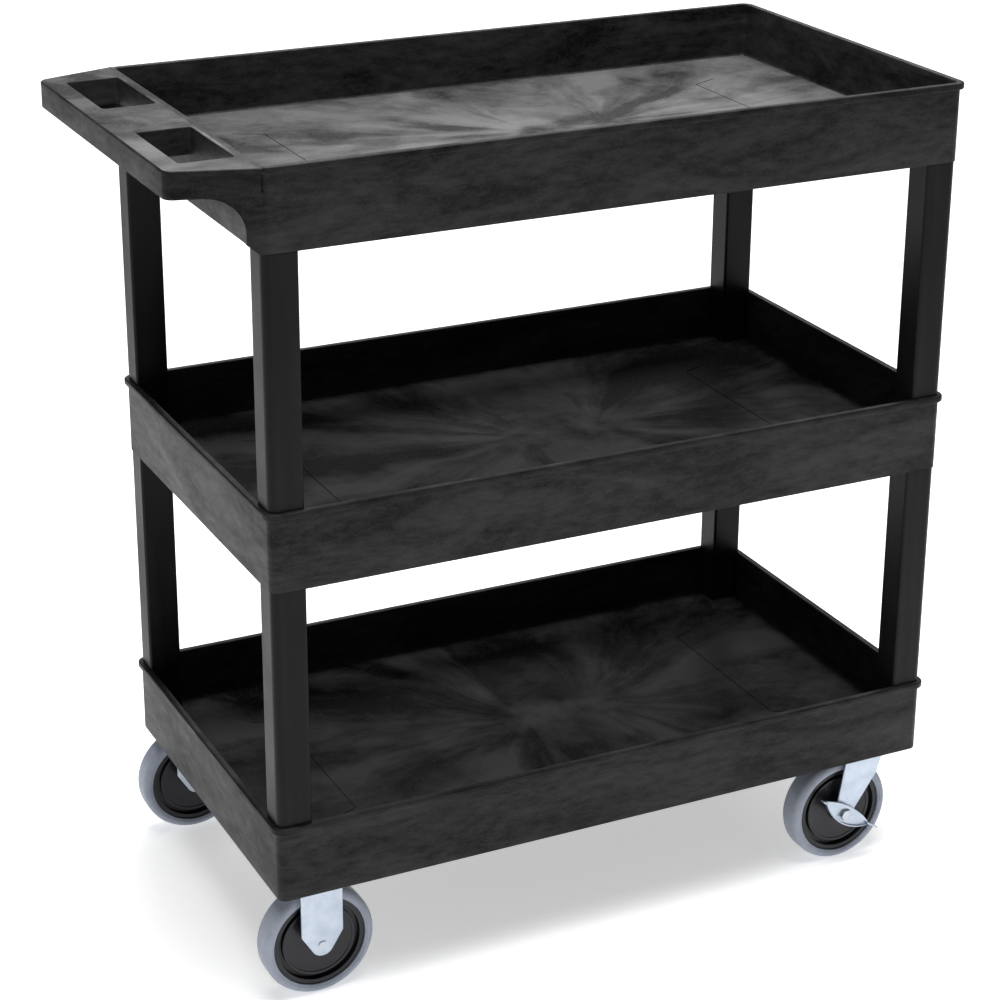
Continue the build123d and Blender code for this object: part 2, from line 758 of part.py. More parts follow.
with BuildPart() as caster_bolts:
    for place in all_bolt_places:
        add_ring(caster_bolt_radius, 0, bolt_seat, bolt_seat + caster_bolt_length, place)
    with BuildSketch(Plane.XY.offset(bolt_seat - caster_bolt_head)) as heads:
        with Locations(*all_bolt_places):
            RegularPolygon(hex_radius, 6)
    extrude(heads.sketch, amount=caster_bolt_head)
save(caster_bolts.part, "caster_bolts")
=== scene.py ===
import json
import math

import bmesh
import bpy
from mathutils import Matrix, Vector


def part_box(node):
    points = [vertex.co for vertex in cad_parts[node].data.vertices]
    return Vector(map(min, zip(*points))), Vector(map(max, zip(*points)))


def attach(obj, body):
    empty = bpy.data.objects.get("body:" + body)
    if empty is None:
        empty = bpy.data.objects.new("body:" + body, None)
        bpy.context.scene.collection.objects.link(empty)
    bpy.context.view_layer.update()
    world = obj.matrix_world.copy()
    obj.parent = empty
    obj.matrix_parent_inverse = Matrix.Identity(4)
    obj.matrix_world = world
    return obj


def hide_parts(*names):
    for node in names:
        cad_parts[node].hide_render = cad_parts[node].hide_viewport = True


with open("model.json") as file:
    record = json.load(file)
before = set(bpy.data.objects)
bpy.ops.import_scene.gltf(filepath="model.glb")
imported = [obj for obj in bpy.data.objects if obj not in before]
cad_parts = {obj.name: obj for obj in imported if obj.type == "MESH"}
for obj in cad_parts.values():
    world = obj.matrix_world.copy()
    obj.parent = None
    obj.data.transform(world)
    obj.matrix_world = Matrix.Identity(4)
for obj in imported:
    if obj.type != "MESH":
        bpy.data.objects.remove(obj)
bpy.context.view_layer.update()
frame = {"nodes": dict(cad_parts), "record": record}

# Rolling utility cart. Everything is in metres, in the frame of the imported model: X runs from the
# handle end to the front, the left side is +Y, Z is up, and the floor is at Z = 0.


# ---- camera, light and floor ----
CAMERA_PLACE = (-1.1975, -2.4453, 1.5845)
CAMERA_AZIMUTH = math.radians(-25.934)
CAMERA_ELEVATION = math.radians(21.241)
CAMERA_ROLL = math.radians(0.247)
CAMERA_LENS = 93.1
CAMERA_SHIFT = (0.0094, -0.0688)

CART_MIDDLE = (0, 0, 0.5)
SURROUNDINGS = 0.14        # strength of the even white light from all round
STUDIO_FLOOR = 60
FLOOR_GLOW = 0.5
SOFTBOXES = (              # name, place, the point it faces, side and watts
    ("top_light", (0.1, -0.1, 3.6), CART_MIDDLE, 2.4, 175),
    ("back_light", (2.4, 5.0, 3.2), (2.4, 5.0, 0), 4.0, 150),
    ("end_light", (-3.4, 0.4, 1.5), CART_MIDDLE, 1.6, 6),
)


def set_camera():
    """Long lens from above the right-hand corner of the handle end."""
    back = Vector((
        math.sin(CAMERA_AZIMUTH) * math.cos(CAMERA_ELEVATION),
        -math.cos(CAMERA_AZIMUTH) * math.cos(CAMERA_ELEVATION),
        math.sin(CAMERA_ELEVATION),
    ))
    right = Vector((0, 0, 1)).cross(back).normalized()
    up = back.cross(right)
    turn = Matrix((right, up, back)).transposed() @ Matrix.Rotation(CAMERA_ROLL, 3, "Z")
    data = bpy.data.cameras.new("cart_camera")
    data.lens = CAMERA_LENS
    data.sensor_width = 36
    data.shift_x, data.shift_y = CAMERA_SHIFT
    camera = bpy.data.objects.new("cart_camera", data)
    camera.matrix_world = Matrix.Translation(CAMERA_PLACE) @ turn.to_4x4()
    bpy.context.scene.collection.objects.link(camera)
    bpy.context.scene.camera = camera


def add_softbox(name, place, aim, size, power):
    """Square studio light that faces a point."""
    data = bpy.data.lights.new(name, "AREA")
    data.shape = "SQUARE"
    data.size = size
    data.energy = power
    light = bpy.data.objects.new(name, data)
    light.location = place
    light.rotation_mode = "QUATERNION"
    light.rotation_quaternion = (Vector(place) - Vector(aim)).to_track_quat("Z", "Y")
    bpy.context.scene.collection.objects.link(light)


def set_studio():
    """Pale floor that glows a little, dim surroundings and soft lights above and behind the cart."""
    world = bpy.data.worlds.new("studio")
    world.use_nodes = True
    surroundings = world.node_tree.nodes["Background"]
    surroundings.inputs["Color"].default_value = (1, 1, 1, 1)
    surroundings.inputs["Strength"].default_value = SURROUNDINGS
    bpy.context.scene.world = world
    bpy.context.scene.view_settings.view_transform = "Standard"
    for softbox in SOFTBOXES:
        add_softbox(*softbox)
    deselect_everything()
    bpy.ops.mesh.primitive_plane_add(size=STUDIO_FLOOR)
    floor = bpy.context.object
    floor.name = "studio_floor"
    floor.data.materials.append(floor_material())


# ---- material nodes ----
def start_material(name, roughness, metallic=0.0):
    """New material and its shader, with an even roughness and metallic share."""
    material = bpy.data.materials.new(name)
    material.use_nodes = True
    nodes = material.node_tree.nodes
    shader = nodes["Principled BSDF"]
    shader.inputs["Roughness"].default_value = roughness
    shader.inputs["Metallic"].default_value = metallic
    return material, shader


def link(material, source, target):
    """Wires one node's output to another's input."""
    material.node_tree.links.new(source, target)


def add_node(material, kind, **inputs):
    """Node of one kind, whose inputs are values or the outputs of other nodes."""
    node = material.node_tree.nodes.new(kind)
    for name, value in inputs.items():
        socket = node.inputs[int(name[1:])] if name[1:].isdigit() else node.inputs[name.replace("_", " ")]
        if isinstance(value, bpy.types.NodeSocket):
            link(material, value, socket)
        else:
            socket.default_value = value
    return node


def noise(material, place, scale, detail=4.0, roughness=0.5, distortion=0.0):
    """Cloudy pattern from 0 to 1."""
    node = add_node(
        material, "ShaderNodeTexNoise", Vector=place, Scale=scale, Detail=detail,
        Roughness=roughness, Distortion=distortion,
    )
    return node.outputs["Fac"]


def stretched(material, place, scale):
    """The place, stretched by a factor along each axis."""
    return add_node(material, "ShaderNodeMapping", Vector=place, Scale=scale).outputs["Vector"]


def remap(material, value, low, high, new_low=0.0, new_high=1.0):
    """A value moved from one range to another, and kept inside it."""
    node = add_node(
        material, "ShaderNodeMapRange", Value=value, From_Min=low, From_Max=high,
        To_Min=new_low, To_Max=new_high,
    )
    return node.outputs["Result"]


def math_node(material, operation, first, second=0.0):
    """Result of one sum on numbers or other nodes' outputs."""
    node = add_node(material, "ShaderNodeMath", _0=first, _1=second)
    node.operation = operation
    return node.outputs["Value"]


def blend_colour(material, amount, first, second):
    """Colour between two, by an amount from 0 to 1."""
    node = material.node_tree.nodes.new("ShaderNodeMix")
    node.data_type = "RGBA"
    colour_sockets = [s for s in node.inputs if s.type == "RGBA"]
    for socket, value in zip([node.inputs["Factor"], *colour_sockets], (amount, first, second)):
        if isinstance(value, bpy.types.NodeSocket):
            link(material, value, socket)
        else:
            socket.default_value = value
    return next(s for s in node.outputs if s.type == "RGBA")


def bump(material, shader, height, strength, distance):
    """Fine relief on the surface, from a height pattern."""
    node = add_node(material, "ShaderNodeBump", Height=height, Strength=strength, Distance=distance)
    link(material, node.outputs["Normal"], shader.inputs["Normal"])


def object_place(material):
    """Place on the piece, in metres in the shared frame."""
    return material.node_tree.nodes.new("ShaderNodeTexCoord").outputs["Object"]


def grey(value, blue=0.0):
    """Neutral tone, or one that leans to blue by a share."""
    return (value, value, value * (1 + blue), 1)


def blend_number(material, amount, first, second):
    """Number between two, by an amount from 0 to 1."""
    step = math_node(material, "SUBTRACT", second, first)
    return math_node(material, "ADD", math_node(material, "MULTIPLY", step, amount), first)


def warped(material, place, by_place, scale, amount):
    """A place pushed about by a cloudy pattern, so that what is drawn on it wanders."""
    cloud = add_node(material, "ShaderNodeTexNoise", Vector=by_place, Scale=scale, Detail=3.0)
    centred = add_node(material, "ShaderNodeVectorMath", _0=cloud.outputs["Color"], _1=(0.5, 0.5, 0.5))
    centred.operation = "SUBTRACT"
    push_by = add_node(material, "ShaderNodeVectorMath", _0=centred.outputs["Vector"],
                       _1=(amount, amount, amount))
    push_by.operation = "MULTIPLY"
    moved = add_node(material, "ShaderNodeVectorMath", _0=place, _1=push_by.outputs["Vector"])
    moved.operation = "ADD"
    return moved.outputs["Vector"]


# ---- sizes of the tubs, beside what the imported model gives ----
TUB_WALL = 0.004
FLOOR_TOP = 0.025          # above the bottom of the skirt
FLOOR_THICKNESS = 0.004
FLOOR_ROUND = 0.0035       # where the floor meets the walls
CORNER_RADIUS = 0.010
LIP_OUT = 0.0042
LIP_TALL = 0.007
RIM_OUTER_ROUND = 0.0018
RIM_INNER_ROUND = 0.0012
LIP_LOW_ROUND = 0.0012
LIP_ROOT_ROUND = 0.0010    # where the lip's underside meets the wall
SKIRT_ROUND = 0.0006
RIB_THICKNESS = 0.0035
RIB_DROP = 0.013
RIB_ROUND = 0.0008
LONG_RIB_PITCH = 0.0865
CROSS_RIB_PITCH = 0.14405
SEAM_REACH = (0.269, 0.112)  # half length and half width of the mould insert's outline
SEAM_WIDTH = 0.0013
SEAM_DEPTH = 0.0006
SEAM_TAIL = 0.036
SEAM_SLANT = 25            # degrees between a tail and the cart's length
GATE_LENGTH = 0.085        # of the bar in the middle of each floor that the flow spreads from
GATE_FADE = 0.075

rim_low, rim_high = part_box("bottom_tray")
tub_back = rim_low.x + LIP_OUT
tub_front = rim_high.x - LIP_OUT
tub_side = rim_high.y - LIP_OUT
tub_middle = (tub_back + tub_front) / 2


# ---- materials ----
def floor_material():
    """White paper, faintly uneven, that glows a little."""
    material, shader = start_material("studio_paper", roughness=0.9)
    place = object_place(material)
    shade = noise(material, place, 1.5, detail=2)
    link(material, blend_colour(material, shade, grey(0.9), grey(0.92)), shader.inputs["Base Color"])
    shader.inputs["Emission Color"].default_value = (1, 1, 1, 1)
    shader.inputs["Emission Strength"].default_value = FLOOR_GLOW
    return material


def flow_fan(material, place):
    """Broad uneven wedges that spread from the gate in the middle of each floor, as foam flows."""
    axes = add_node(material, "ShaderNodeSeparateXYZ", Vector=place).outputs
    from_gate = math_node(material, "SUBTRACT", axes["X"], tub_middle)
    gate_bar = remap(material, from_gate, 0.0, GATE_LENGTH, 0.0, GATE_LENGTH)
    along = math_node(material, "SUBTRACT", from_gate, gate_bar)
    reach = math_node(material, "SQRT", math_node(
        material, "ADD", math_node(material, "MULTIPLY", along, along),
        math_node(material, "MULTIPLY", axes["Y"], axes["Y"]),
    ))
    reach = math_node(material, "MAXIMUM", reach, 0.004)
    fan = add_node(
        material, "ShaderNodeCombineXYZ", X=math_node(material, "DIVIDE", along, reach),
        Y=math_node(material, "DIVIDE", axes["Y"], reach),
        Z=math_node(material, "ADD", math_node(material, "MULTIPLY", reach, 1.1), axes["Z"]),
    ).outputs["Vector"]
    wedges = noise(material, warped(material, fan, place, 7.0, 0.45), 2.3, detail=6, roughness=0.6)
    near_gate = remap(material, reach, 0.01, GATE_FADE, 1.0, 0.0)
    puddle = noise(material, warped(material, place, place, 9.0, 0.08), 16.0, detail=6)
    return blend_number(material, near_gate, wedges, puddle)


def foam_surface(name, tones, marks, mark_range, finish, gloss):
    """Black structural foam whose cloudy marks change its tone, its finish and its relief."""
    material, shader = start_material(name, roughness=0.5)
    shader.inputs["Specular IOR Level"].default_value = gloss
    place = object_place(material)
    pattern = marks(material, place)
    speckle = noise(material, place, 420, detail=3, roughness=0.7)
    tone = remap(material, pattern, *mark_range)
    colour = blend_colour(material, tone, grey(tones[0], 0.02), grey(tones[1], 0.02))
    fleck = remap(material, speckle, 0.52, 0.8, 0, 0.5)
    colour = blend_colour(material, fleck, colour, grey(tones[1] * 1.5))
    link(material, colour, shader.inputs["Base Color"])
    link(material, remap(material, pattern, *mark_range, *finish), shader.inputs["Roughness"])
    relief = math_node(material, "ADD", math_node(material, "MULTIPLY", speckle, 0.5), pattern)
    bump(material, shader, relief, 0.3, 0.0005)
    return material


def wall_clouds(material, place):
    """Long swirls and small blotches, drawn out along the walls."""
    long_place = stretched(material, place, (0.45, 0.45, 1.6))
    clouds = noise(material, long_place, 12.0, detail=9, roughness=0.7, distortion=0.8)
    blotches = noise(material, stretched(material, place, (0.5, 0.5, 1.4)), 90.0, detail=5, roughness=0.65)
    return blend_number(material, 0.35, clouds, blotches)


def floor_wedges(material, place):
    """Flow wedges, broken up by the same kind of swirl as on the walls."""
    wedges = flow_fan(material, place)
    clouds = noise(material, warped(material, place, place, 6.0, 0.12), 11.0, detail=8, roughness=0.64)
    return blend_number(material, 0.3, wedges, clouds)


def post_plastic():
    """Smoother black plastic with faint lengthwise drag marks."""
    material, shader = start_material("black_post_plastic", roughness=0.42)
    shader.inputs["Specular IOR Level"].default_value = 0.13
    place = object_place(material)
    drag = noise(material, stretched(material, place, (60, 60, 3)), 1.5, detail=4)
    clouds = noise(material, place, 9, detail=5, distortion=0.6)
    tone = remap(material, math_node(material, "MULTIPLY", drag, clouds), 0.1, 0.45)
    colour = blend_colour(material, tone, grey(0.004), grey(0.013))
    link(material, colour, shader.inputs["Base Color"])
    link(material, remap(material, clouds, 0.3, 0.7, 0.34, 0.48), shader.inputs["Roughness"])
    fine = noise(material, place, 520, detail=3, roughness=0.7)
    bump(material, shader, math_node(material, "ADD", fine, drag), 0.16, 0.0003)
    return material


def tyre_rubber():
    """Blue-grey rubber with a little dust and fine moulding grain."""
    material, shader = start_material("blue_grey_rubber", roughness=0.5)
    place = object_place(material)
    clouds = noise(material, place, 24, detail=6, roughness=0.6)
    dust = noise(material, place, 160, detail=4, roughness=0.7)
    colour = blend_colour(
        material, remap(material, clouds, 0.35, 0.7), (0.26, 0.29, 0.36, 1), (0.36, 0.395, 0.475, 1)
    )
    colour = blend_colour(
        material, remap(material, dust, 0.55, 0.8, 0, 0.4), colour, (0.48, 0.50, 0.55, 1)
    )
    link(material, colour, shader.inputs["Base Color"])
    link(material, remap(material, clouds, 0.3, 0.7, 0.42, 0.6), shader.inputs["Roughness"])
    bump(material, shader, noise(material, place, 600, detail=3), 0.15, 0.0003)
    return material


def core_plastic():
    """Near-black wheel core with a blue cast."""
    material, shader = start_material("blue_black_core", roughness=0.34)
    shader.inputs["Specular IOR Level"].default_value = 0.4
    place = object_place(material)
    clouds = noise(material, place, 40, detail=5, distortion=0.4)
    colour = blend_colour(
        material, remap(material, clouds, 0.35, 0.7), (0.004, 0.004, 0.007, 1), (0.012, 0.012, 0.018, 1)
    )
    link(material, colour, shader.inputs["Base Color"])
    link(material, remap(material, clouds, 0.3, 0.7, 0.28, 0.42), shader.inputs["Roughness"])
    bump(material, shader, noise(material, place, 420, detail=3), 0.12, 0.0003)
    return material


def plated_steel(name, dark, light, roughness):
    """Plated metal: an even sheen with faint clouding, fine grain and drawn scratches."""
    material, shader = start_material(name, roughness=roughness, metallic=0.9)
    place = object_place(material)
    clouds = noise(material, place, 45, detail=5, roughness=0.55)
    grain = noise(material, place, 700, detail=2)
    tone = math_node(material, "ADD", math_node(material, "MULTIPLY", clouds, 0.75),
                     math_node(material, "MULTIPLY", grain, 0.25))
    link(material, blend_colour(material, remap(material, tone, 0.35, 0.62), dark, light),
         shader.inputs["Base Color"])
    link(material, remap(material, clouds, 0.3, 0.7, roughness - 0.05, roughness + 0.08),
         shader.inputs["Roughness"])
    scratches = noise(material, stretched(material, place, (900, 900, 60)), 1.0, detail=2)
    bump(material, shader, scratches, 0.06, 0.0002)
    return material


def make_materials():
    """Every material, by the slot that takes it, with the two floors' own beside them; the floors' tones
    hold painted light, lighter on the top floor and darker on the lower floors, which are shaded by the
    trays above.
    """
    return {
        "tray_plastic": foam_surface(
            "foam_walls", (0.002, 0.028), wall_clouds, (0.40, 0.61), (0.54, 0.42), 0.13
        ),
        # Upward faces of the top tray: a tone far lighter than the walls', painted light from above, under
        # the real flow marks
        "top_floor_painted_light": foam_surface(
            "foam_top_floor_painted_light", (0.016, 0.105), floor_wedges, (0.42, 0.58), (0.60, 0.40), 0.08
        ),
        # Lower floors: a darker tone than the top floor, painted shade from the tray above, under the real
        # flow marks
        "lower_floor_painted_shade": foam_surface(
            "foam_lower_floors_painted_shade", (0.004, 0.062), floor_wedges, (0.42, 0.59), (0.60, 0.42), 0.04
        ),
        "post_plastic": post_plastic(),
        "tyre_rubber": tyre_rubber(),
        "core_plastic": core_plastic(),
        "zinc_sheet": plated_steel("zinc_sheet", (0.40, 0.46, 0.55, 1), (0.56, 0.62, 0.71, 1), 0.38),
        "zinc_fastener": plated_steel("zinc_fastener", (0.36, 0.40, 0.46, 1), (0.60, 0.64, 0.70, 1), 0.28),
        "bearing_steel": plated_steel("bearing_steel", (0.6, 0.6, 0.62, 1), (0.8, 0.8, 0.82, 1), 0.15),
        "insert_brass": plated_steel("insert_brass", (0.55, 0.4, 0.15, 1), (0.75, 0.58, 0.28, 1), 0.3),
    }


# ---- working on a mesh in edit mode ----
NEAR = 1e-4                # reach of a pick by place, beside rounded corners


def deselect_everything():
    """Leaves edit mode, with nothing selected."""
    if bpy.context.mode != "OBJECT":
        bpy.ops.object.mode_set(mode="OBJECT")
    bpy.ops.object.select_all(action="DESELECT")


def make_active(piece):
    """Selects one piece, and nothing else, in object mode."""
    deselect_everything()
    bpy.context.view_layer.objects.active = piece
    piece.select_set(True)


def open_edit(piece):
    """Opens a finished mesh in edit mode."""
    make_active(piece)
    bpy.ops.object.mode_set(mode="EDIT")


def begin_edit(name):
    """The new primitive gets its name, keeps its place in its mesh, and opens in edit mode."""
    piece = bpy.context.object
    piece.name = piece.data.name = name
    bpy.ops.object.transform_apply()
    bpy.ops.object.mode_set(mode="EDIT")
    return piece


def start_block(name, low, high):
    """Block between two corners, open in edit mode."""
    deselect_everything()
    low, high = Vector(low), Vector(high)
    bpy.ops.mesh.primitive_cube_add(size=1, location=(low + high) / 2, scale=high - low)
    return begin_edit(name)


def start_disc(name, centre, radius, depth, along="Y", vertices=96):
    """Disc with its axis along Y or Z, open in edit mode."""
    deselect_everything()
    tilt = (math.pi / 2, 0, 0) if along == "Y" else (0, 0, 0)
    bpy.ops.mesh.primitive_cylinder_add(
        vertices=vertices, radius=radius, depth=depth, location=centre, rotation=tilt
    )
    return begin_edit(name)


def middle(item):
    """Middle of a face, an edge or a point of a mesh in edit mode."""
    corners = [item] if isinstance(item, bmesh.types.BMVert) else list(item.verts)
    return sum((corner.co for corner in corners), Vector()) / len(corners)


def pick(kind, test):
    """Selects the faces, edges or points that pass a test, and nothing else."""
    mesh = bmesh.from_edit_mesh(bpy.context.object.data)
    bpy.ops.mesh.select_mode(type=kind)
    bpy.ops.mesh.select_all(action="DESELECT")
    items = {"FACE": mesh.faces, "EDGE": mesh.edges, "VERT": mesh.verts}[kind]
    for item in items:
        if test(item):
            item.select_set(True)
    mesh.select_flush_mode()
    bmesh.update_edit_mesh(bpy.context.object.data)


def close(value, target, reach=1e-5):
    """True for two numbers that are the same to a hair."""
    return abs(value - target) < reach


def upright(edge):
    """True for an edge along Z."""
    run = edge.verts[1].co - edge.verts[0].co
    return math.hypot(run.x, run.y) < 1e-6


def sharp(edge, angle=0.6):
    """True where two faces meet at more than an angle."""
    return len(edge.link_faces) == 2 and edge.calc_face_angle() > angle


def bevel(width, segments):
    """Rounds the selected edges."""
    bpy.ops.mesh.bevel(offset=width, segments=segments, affect="EDGES", clamp_overlap=True)


def inset(width):
    """Sets the selected faces in from their outline."""
    bpy.ops.mesh.inset(thickness=width, use_even_offset=True)


def cut_across(place, normal):
    """A loop of new edges where a plane crosses the whole mesh."""
    bpy.ops.mesh.select_all(action="SELECT")
    bpy.ops.mesh.bisect(plane_co=place, plane_no=normal)


def push(x=0.0, y=0.0, z=0.0):
    """Extrudes the selected faces by a step."""
    bpy.ops.mesh.extrude_region_move(TRANSFORM_OT_translate={"value": (x, y, z)})


def combine(piece, tool, operation):
    """Adds one finished mesh to another, or cuts it out, and removes the tool."""
    make_active(piece)
    modifier = piece.modifiers.new(operation.lower(), "BOOLEAN")
    modifier.operation = operation
    modifier.object = tool
    modifier.solver = "EXACT"
    bpy.ops.object.modifier_apply(modifier=modifier.name)
    mesh = tool.data
    bpy.data.objects.remove(tool)
    bpy.data.meshes.remove(mesh)


def join(pieces, name):
    """Joins separate meshes into one object."""
    deselect_everything()
    for piece in pieces:
        piece.select_set(True)
    bpy.context.view_layer.objects.active = pieces[0]
    bpy.ops.object.join()
    joined = bpy.context.object
    joined.name = joined.data.name = name
    return joined


def finish_piece(piece, body, slot, replaced, angle=35):
    """Smooth faces between edges, a material, and the body that carries the piece."""
    make_active(piece)
    bpy.ops.object.shade_smooth_by_angle(angle=math.radians(angle))
    piece.data.materials.clear()
    piece.data.materials.append(materials[slot])
    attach(piece, body)
    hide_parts(*replaced)


# ---- trays ----
def beyond_wall(point):
    """How far a point is outside the tub's upright outer face."""
    x = abs(point.x - tub_middle) - ((tub_front - tub_back) / 2 - CORNER_RADIUS)
    y = abs(point.y) - (tub_side - CORNER_RADIUS)
    if x > 0 and y > 0:
        return math.hypot(x, y) - CORNER_RADIUS
    return max(x, y) - CORNER_RADIUS


def round_edges_at(height, test, width, segments):
    """Rounds the sharp edges at one height that also pass a test on their place."""
    pick("EDGE", lambda edge: sharp(edge) and all(close(v.co.z, height) for v in edge.verts)
         and test(beyond_wall(middle(edge))))
    bevel(width, segments)


def model_tub(name):
    """Thin-walled tub with a rolled rim above, and an open skirt below its floor."""
    base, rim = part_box(name)[0].z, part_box(name)[1].z
    floor_top = base + FLOOR_TOP
    ceiling = floor_top - FLOOR_THICKNESS
    tub = start_block(f"{name}_moulding", (tub_back, -tub_side, base), (tub_front, tub_side, rim))
    pick("EDGE", upright)
    bevel(CORNER_RADIUS, 8)
    cut_across((0, 0, rim - LIP_TALL), (0, 0, 1))
    pick("FACE", lambda face: abs(face.normal.z) < 0.1 and middle(face).z > rim - LIP_TALL)
    bpy.ops.mesh.extrude_region_shrink_fatten(
        TRANSFORM_OT_shrink_fatten={"value": LIP_OUT, "use_even_offset": True}
    )
    pick("FACE", lambda face: face.normal.z > 0.9 and len(face.verts) > 4)
    inset(TUB_WALL)
    push(z=floor_top - rim)
    pick("FACE", lambda face: face.normal.z < -0.9 and len(face.verts) > 4)
    inset(TUB_WALL)
    push(z=ceiling - base)
    round_edges_at(floor_top, lambda out: out < 0, FLOOR_ROUND, 4)
    round_edges_at(rim, lambda out: out > LIP_OUT / 2, RIM_OUTER_ROUND, 4)
    round_edges_at(rim, lambda out: out < 0, RIM_INNER_ROUND, 3)
    round_edges_at(rim - LIP_TALL, lambda out: out > LIP_OUT / 2, LIP_LOW_ROUND, 3)
    round_edges_at(rim - LIP_TALL, lambda out: out < LIP_OUT / 2, LIP_ROOT_ROUND, 3)
    round_edges_at(base, lambda out: True, SKIRT_ROUND, 2)
    for rib in floor_ribs(ceiling):
        combine(tub, rib, "UNION")
    for strip in seam_strips(floor_top):
        combine(tub, strip, "DIFFERENCE")
    return tub


def floor_ribs(ceiling):
    """Blades below the floor: three along the tub and five across it, sunk into what they meet."""
    sink = TUB_WALL / 4
    half = RIB_THICKNESS / 2
    for row in (-1, 0, 1):
        y = row * LONG_RIB_PITCH
        low = (tub_back + TUB_WALL - sink, y - half, ceiling - RIB_DROP)
        yield rib_block(low, (tub_front - TUB_WALL + sink, y + half, ceiling + sink))
    for row in (-2, -1, 0, 1, 2):
        x = tub_middle + row * CROSS_RIB_PITCH
        low = (x - half, -tub_side + TUB_WALL - sink, ceiling - RIB_DROP)
        yield rib_block(low, (x + half, tub_side - TUB_WALL + sink, ceiling + sink))


def rib_block(low, high):
    """Blade whose lower edges are eased."""
    rib = start_block("rib", low, high)
    pick("EDGE", lambda edge: all(close(v.co.z, low[2]) for v in edge.verts))
    bevel(RIB_ROUND, 2)
    return rib


def seam_strips(floor_top):
    """Cutters for the witness line that the mould insert leaves across each end of the floor."""
    for end in (-1, 1):
        x = tub_middle + end * SEAM_REACH[0]
        yield seam_strip((x, 0, floor_top), 2 * SEAM_REACH[1], math.pi / 2)
        for side in (-1, 1):
            slant = math.radians(end * side * SEAM_SLANT)
            tail_x = x + end * SEAM_TAIL / 2 * math.cos(slant)
            tail_y = side * SEAM_REACH[1] + end * SEAM_TAIL / 2 * math.sin(slant)
            yield seam_strip((tail_x, tail_y, floor_top), SEAM_TAIL, slant)


def seam_strip(centre, length, turn):
    """Thin bar, level with the floor, for cutting one straight line of the seam."""
    deselect_everything()
    bpy.ops.mesh.primitive_cube_add(
        size=1, location=centre, rotation=(0, 0, turn), scale=(length, SEAM_WIDTH, 2 * SEAM_DEPTH)
    )
    return begin_edit("seam_strip")


# ---- push handle ----
OVERLAP = 0.0004           # how far joined shapes sink into each other
HANDLE_SKIRT = 0.0285
HANDLE_TOP = 0.005
HANDLE_WALL = 0.0035
HANDLE_CORNER = 0.009
HANDLE_END_SIDE = 0.2025   # half width of the far end
HANDLE_LOW_ROUND = 0.0012
HANDLE_TOP_ROUND = 0.0022
CREASE_DROP = 0.007        # crease below the rim, where the handle meets the tub
CREASE_LEAN = 0.0012
HOLE_FRONT = 0.007
HOLE_SIZE = (0.057, 0.126)
HOLE_GAP = 0.105
HOLE_CORNER = 0.004
HOLE_MOUTH_ROUND = 0.0012
WEB_INSET = 0.0008
WEB_THICKNESS = 0.0035
WEB_FOOT = 0.013
WEB_ARC = 0.038
WEB_LIFT = 0.011
WEB_ROOT = 0.0062          # how far the web runs into the tub's rounded corner


def narrow_to_end(handle_end, side):
    """Draws in the points beyond the end wall, so that the sides taper to the far end."""
    pick("VERT", lambda point: point.co.x < handle_end + NEAR)
    bpy.ops.transform.resize(value=(1, HANDLE_END_SIDE / side, 1), center_override=(0, 0, 0))


def handle_block(name, side, low, high):
    """Slab from the end wall to the far end, tapered, with its far corners rounded."""
    handle_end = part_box("top_tray")[0].x
    slab = start_block(name, (handle_end, -side, low), (tub_back + TUB_WALL / 2, side, high))
    cut_across((tub_back, 0, 0), (1, 0, 0))
    narrow_to_end(handle_end, side)
    pick("EDGE", lambda edge: upright(edge) and middle(edge).x < handle_end + NEAR)
    bevel(HANDLE_CORNER, 8)
    return slab


def handle_skirt(side, low, under):
    """Skirt below the edge of the handle, open below, with a crease along each side."""
    handle_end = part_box("top_tray")[0].x
    skirt = handle_block("handle_skirt", side, low, under)
    pick("FACE", lambda face: face.normal.z < -0.9 and len(face.verts) > 4)
    inset(HANDLE_WALL)
    push(z=under - low - 2 * OVERLAP)
    crease_run = Vector((tub_back - handle_end, 0, HANDLE_SKIRT - CREASE_DROP))
    pick("FACE", lambda face: abs(face.normal.y) > 0.9 and abs(middle(face).y) > HANDLE_END_SIDE / 2)
    bpy.ops.mesh.bisect(plane_co=(handle_end, 0, low), plane_no=crease_run.cross((0, 1, 0)))
    pick("VERT", lambda point: close(point.co.z, under))
    bpy.ops.transform.resize(value=(1, 1 - CREASE_LEAN / side, 1), center_override=(0, 0, 0))
    pick("EDGE", lambda edge: sharp(edge) and all(close(v.co.z, low) for v in edge.verts))
    bevel(HANDLE_LOW_ROUND, 3)
    return skirt


def handle_plate(under, rim):
    """Top of the handle, level with the rim and rounded over except along the tub."""
    plate = handle_block("handle_plate", tub_side + LIP_OUT, under - OVERLAP, rim)
    pick("EDGE", lambda edge: sharp(edge) and middle(edge).x < tub_back - NEAR
         and all(close(v.co.z, rim) for v in edge.verts))
    bevel(HANDLE_TOP_ROUND, 4)
    return plate


def add_hand_hole(handle, centre, low, under, rim):
    """Wall round one hand hole, and the hole through it and the plate."""
    half = Vector((HOLE_SIZE[0] / 2, HOLE_SIZE[1] / 2, 0))
    margin = Vector((HANDLE_WALL + OVERLAP / 2, HANDLE_WALL, 0))
    wall = start_block(
        "hole_wall", centre - half - margin + Vector((0, 0, low)),
        centre + half + margin + Vector((0, 0, under)),
    )
    combine(handle, wall, "UNION")
    hole = start_block(
        "hand_hole", centre - half + Vector((0, 0, low - HANDLE_WALL)),
        centre + half + Vector((0, 0, rim + HANDLE_WALL)),
    )
    pick("EDGE", upright)
    bevel(HOLE_CORNER, 5)
    combine(handle, hole, "DIFFERENCE")


def at_hole_mouth(point, hole_x, rim):
    """True for a point on the top edge of a hand hole."""
    beside = abs(point.x - hole_x) < HOLE_SIZE[0] * 0.6
    return close(point.z, rim) and beside and HOLE_GAP * 0.45 < abs(point.y) < HOLE_GAP + HOLE_SIZE[1]


